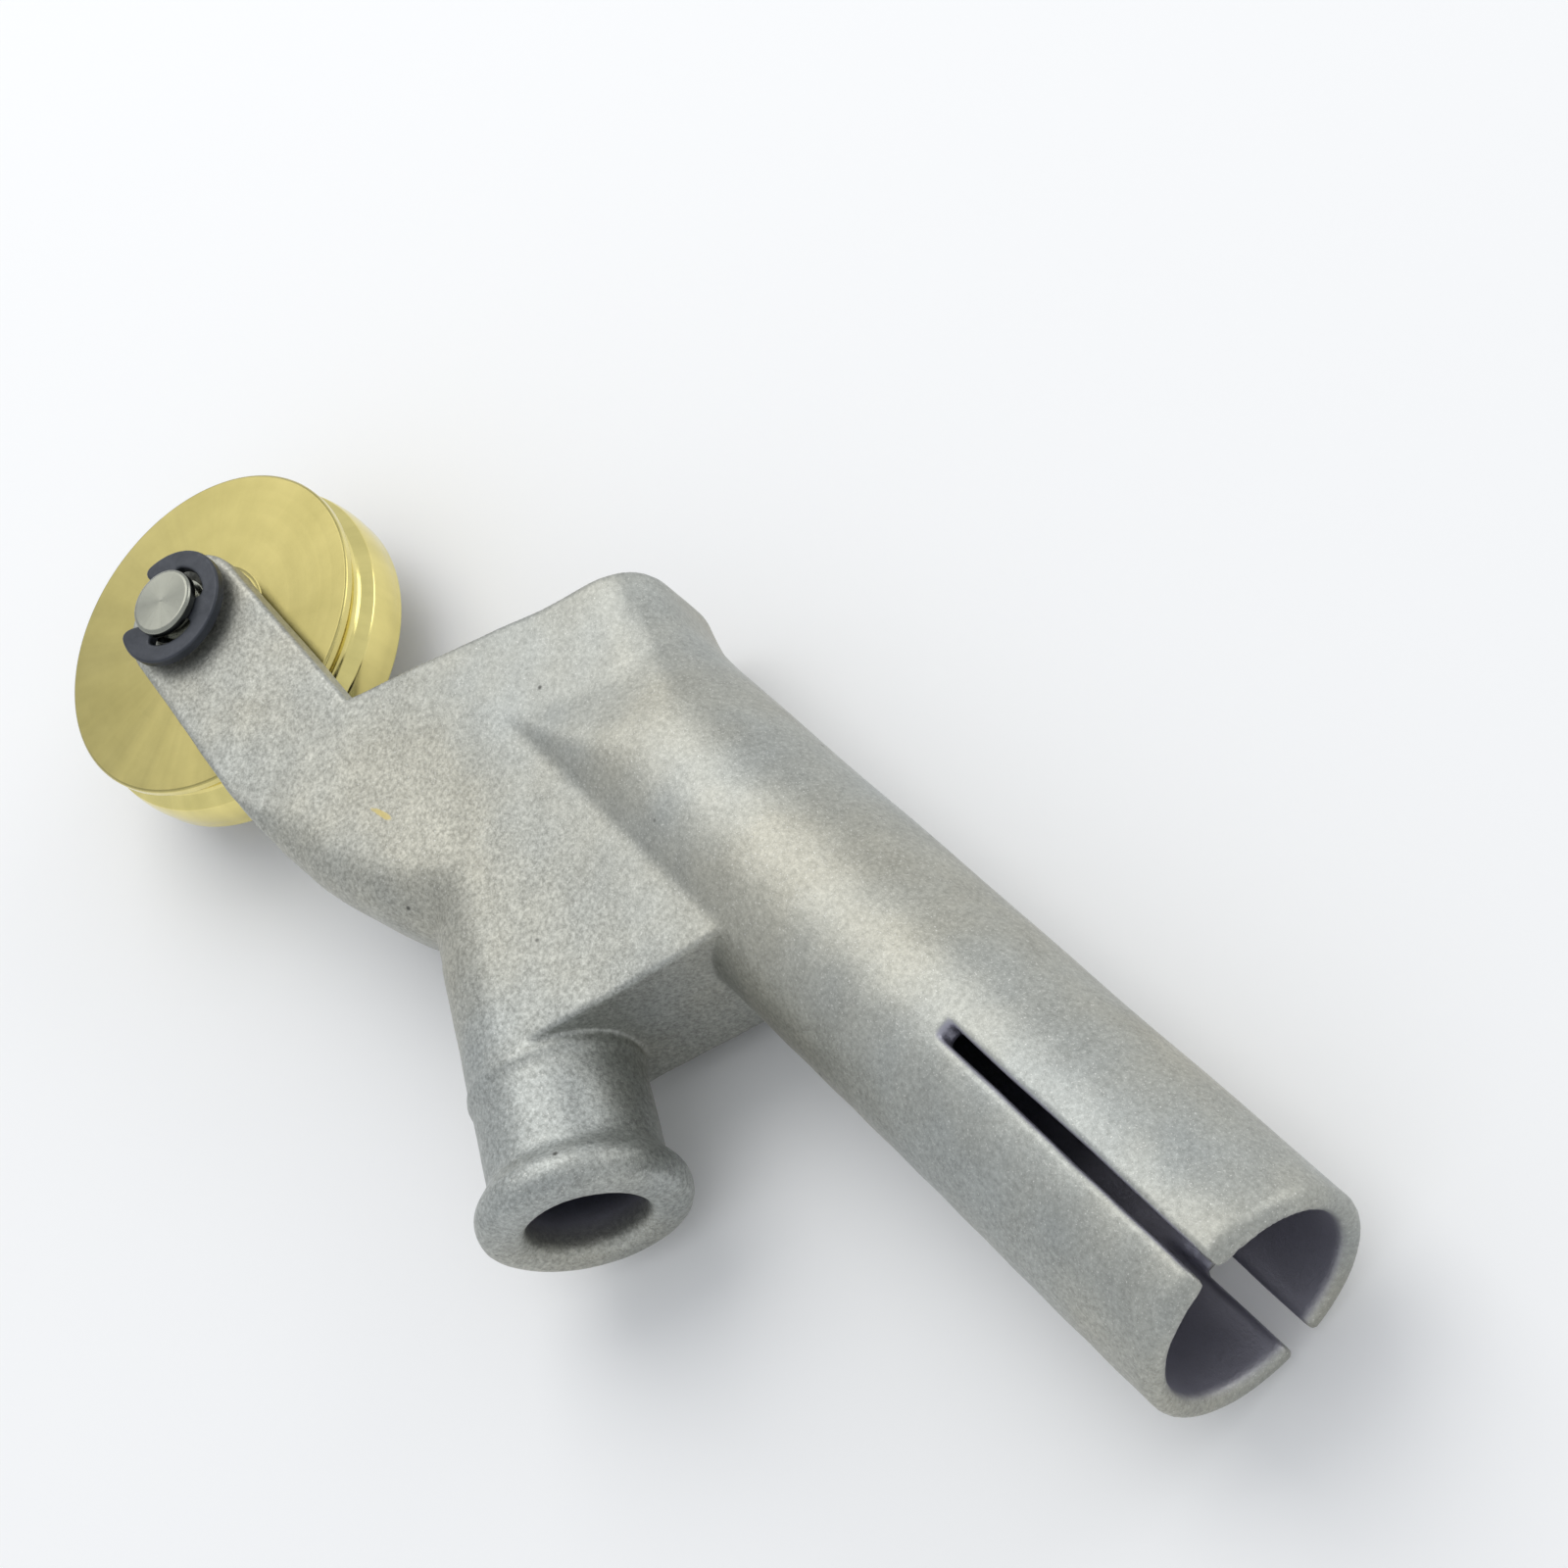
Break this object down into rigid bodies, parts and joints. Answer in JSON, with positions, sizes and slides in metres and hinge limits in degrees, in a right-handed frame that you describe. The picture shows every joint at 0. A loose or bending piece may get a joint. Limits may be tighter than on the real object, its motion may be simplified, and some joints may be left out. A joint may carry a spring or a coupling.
{
  "type": "speed welding nozzle",
  "caption": "Cast hot-air nozzle with a split push-on socket, an angled welding-rod tube and a grooved brass pressure roller in a fork.",
  "frame": {"origin": "centre of the hot-air socket's mouth, on the socket's axis", "axes": "+X out of the socket's mouth along its bore, +Z along the roller's axle (the object lies on its side), +Y towards the nose that faces the work"},
  "size_m": [0.0842, 0.0303, 0.0126],
  "materials": {
    "cast_steel": "bead-blasted investment casting, satin",
    "brass": "turned, bright",
    "bright_steel": "turned end faces, ground shank",
    "dark_spring_steel": "blackened spring steel, satin"
  },
  "bodies": {
    "nozzle": {"body": "cast_steel"},
    "roller": {"pressure_roller": "brass"},
    "axle": {"axle": "bright_steel", "near_clip": "dark_spring_steel", "far_clip": "dark_spring_steel"}
  },
  "joints": [
    {"name": "roller_spin", "type": "hinge", "parent": "nozzle", "child": "roller", "pos_m": [-0.074, -0.0122, 0], "axis": [0, 0, 1], "continuous": true},
    {"name": "axle_spin", "type": "hinge", "parent": "nozzle", "child": "axle", "pos_m": [-0.074, -0.0122, 0], "axis": [0, 0, 1], "continuous": true}
  ]
}
